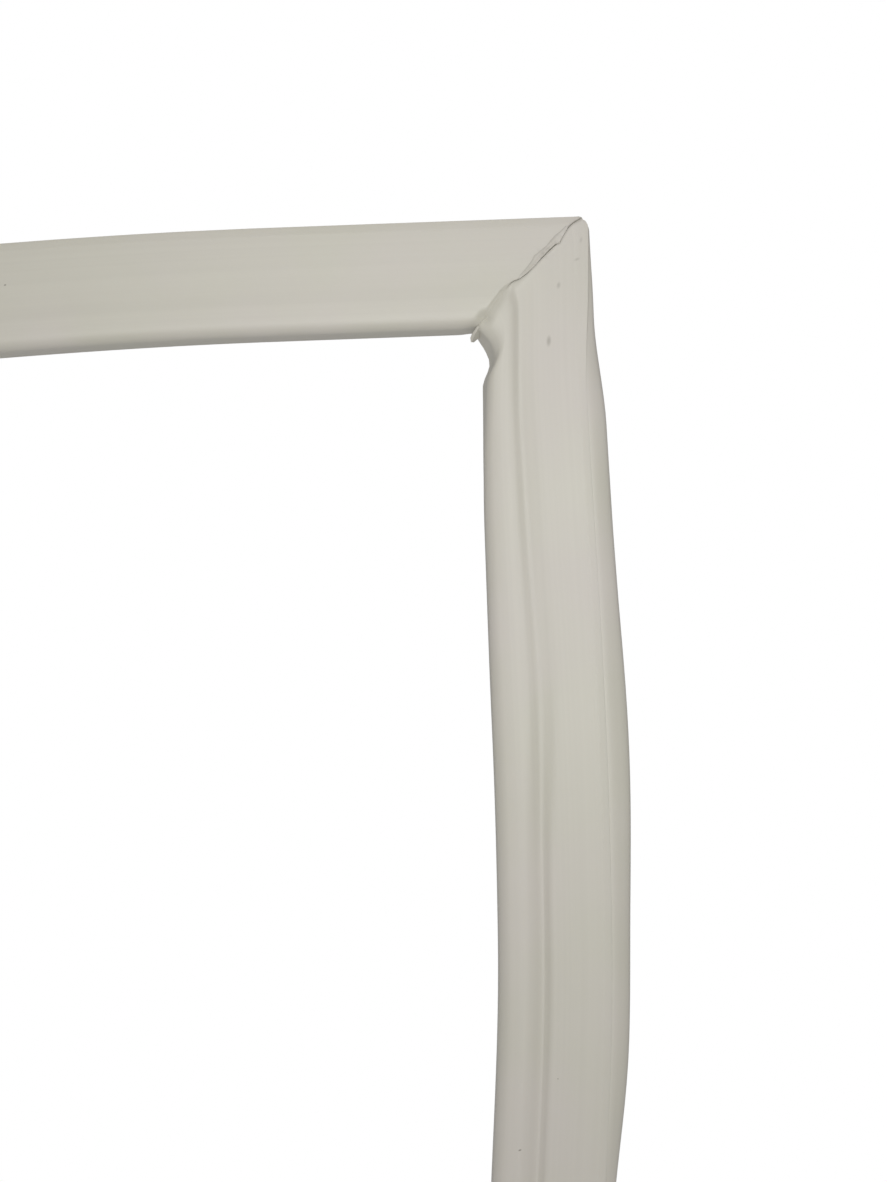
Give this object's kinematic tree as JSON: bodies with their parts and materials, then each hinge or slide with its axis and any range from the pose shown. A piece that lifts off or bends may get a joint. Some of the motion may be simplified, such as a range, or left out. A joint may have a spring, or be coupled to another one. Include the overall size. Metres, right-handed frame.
{
  "type": "refrigerator door gasket",
  "caption": "Closed rectangular door seal of hollow soft-PVC section with mitred welded corners, a push-in barbed foot and magnetic strips sealed under its face.",
  "frame": {"origin": "middle of the loop, on the surface that its barbed foot rests on", "axes": "+X across the width of the door, +Y up its height, +Z the way the sealing face looks, towards the cabinet"},
  "size_m": [0.5344, 0.6906, 0.0209],
  "materials": {
    "soft_pvc": "extruded soft PVC, warm off-white, satin",
    "magnetic_rubber": "ferrite powder bound in rubber, dark brown-grey, matt"
  },
  "bodies": {
    "root": {"gasket_frame": "soft_pvc", "magnetic_strip_top": "magnetic_rubber", "magnetic_strip_right": "magnetic_rubber", "magnetic_strip_bottom": "magnetic_rubber", "magnetic_strip_left": "magnetic_rubber"}
  },
  "joints": []
}
